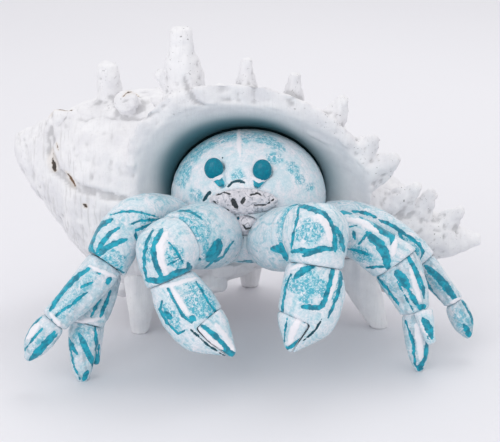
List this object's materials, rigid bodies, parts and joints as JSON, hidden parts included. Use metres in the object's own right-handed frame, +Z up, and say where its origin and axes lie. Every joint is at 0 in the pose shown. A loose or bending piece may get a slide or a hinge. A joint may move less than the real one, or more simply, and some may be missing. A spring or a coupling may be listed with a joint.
{
  "type": "hermit crab figurine",
  "caption": "Hermit crab ornament washed in turquoise over white, sitting in the mouth of a chalky white spiny sea shell and standing on its toes and the shell's feet.",
  "frame": {"origin": "centre of the overall box in X and Y, on the floor", "axes": "+X to the right of someone facing the crab, the face towards -Y, +Z up"},
  "size_m": [0.306, 0.2372, 0.2006],
  "materials": {
    "shell_white": "chalky matte white cast resin with fine striations and small brown flecks in its cracks",
    "crab_paint": "glossy turquoise wash over white cast resin, darker in the grooves, with speckles and stripes",
    "eye_teal": "glossy dark teal paint",
    "mouth_grey": "silver grey crackled paint",
    "pin_steel": "plain steel, hidden in the glued joints"
  },
  "bodies": {
    "root": {"shell_body": "shell_white", "front_left_foot": "shell_white", "front_right_foot": "shell_white", "rear_foot": "shell_white", "thorax": "crab_paint", "carapace": "crab_paint", "mouth_plate": "mouth_grey", "lower_mouthparts": "mouth_grey", "left_eyestalk": "crab_paint", "right_eyestalk": "crab_paint", "left_eye": "eye_teal", "right_eye": "eye_teal", "left_claw_arm": "crab_paint", "left_claw_wrist": "crab_paint", "left_claw_palm": "crab_paint", "left_claw_finger": "crab_paint", "right_claw_arm": "crab_paint", "right_claw_wrist": "crab_paint", "right_claw_palm": "crab_paint", "right_claw_finger": "crab_paint", "left_front_leg_thigh": "crab_paint", "left_front_leg_shin": "crab_paint", "left_front_leg_toe": "crab_paint", "left_rear_leg_thigh": "crab_paint", "left_rear_leg_shin": "crab_paint", "left_rear_leg_toe": "crab_paint", "left_rear_leg_spur": "crab_paint", "right_front_leg_thigh": "crab_paint", "right_front_leg_shin": "crab_paint", "right_front_leg_toe": "crab_paint", "right_front_leg_spur": "crab_paint", "right_rear_leg_thigh": "crab_paint", "right_rear_leg_shin": "crab_paint", "right_rear_leg_toe": "crab_paint", "joint_pins": "pin_steel"}
  },
  "joints": []
}
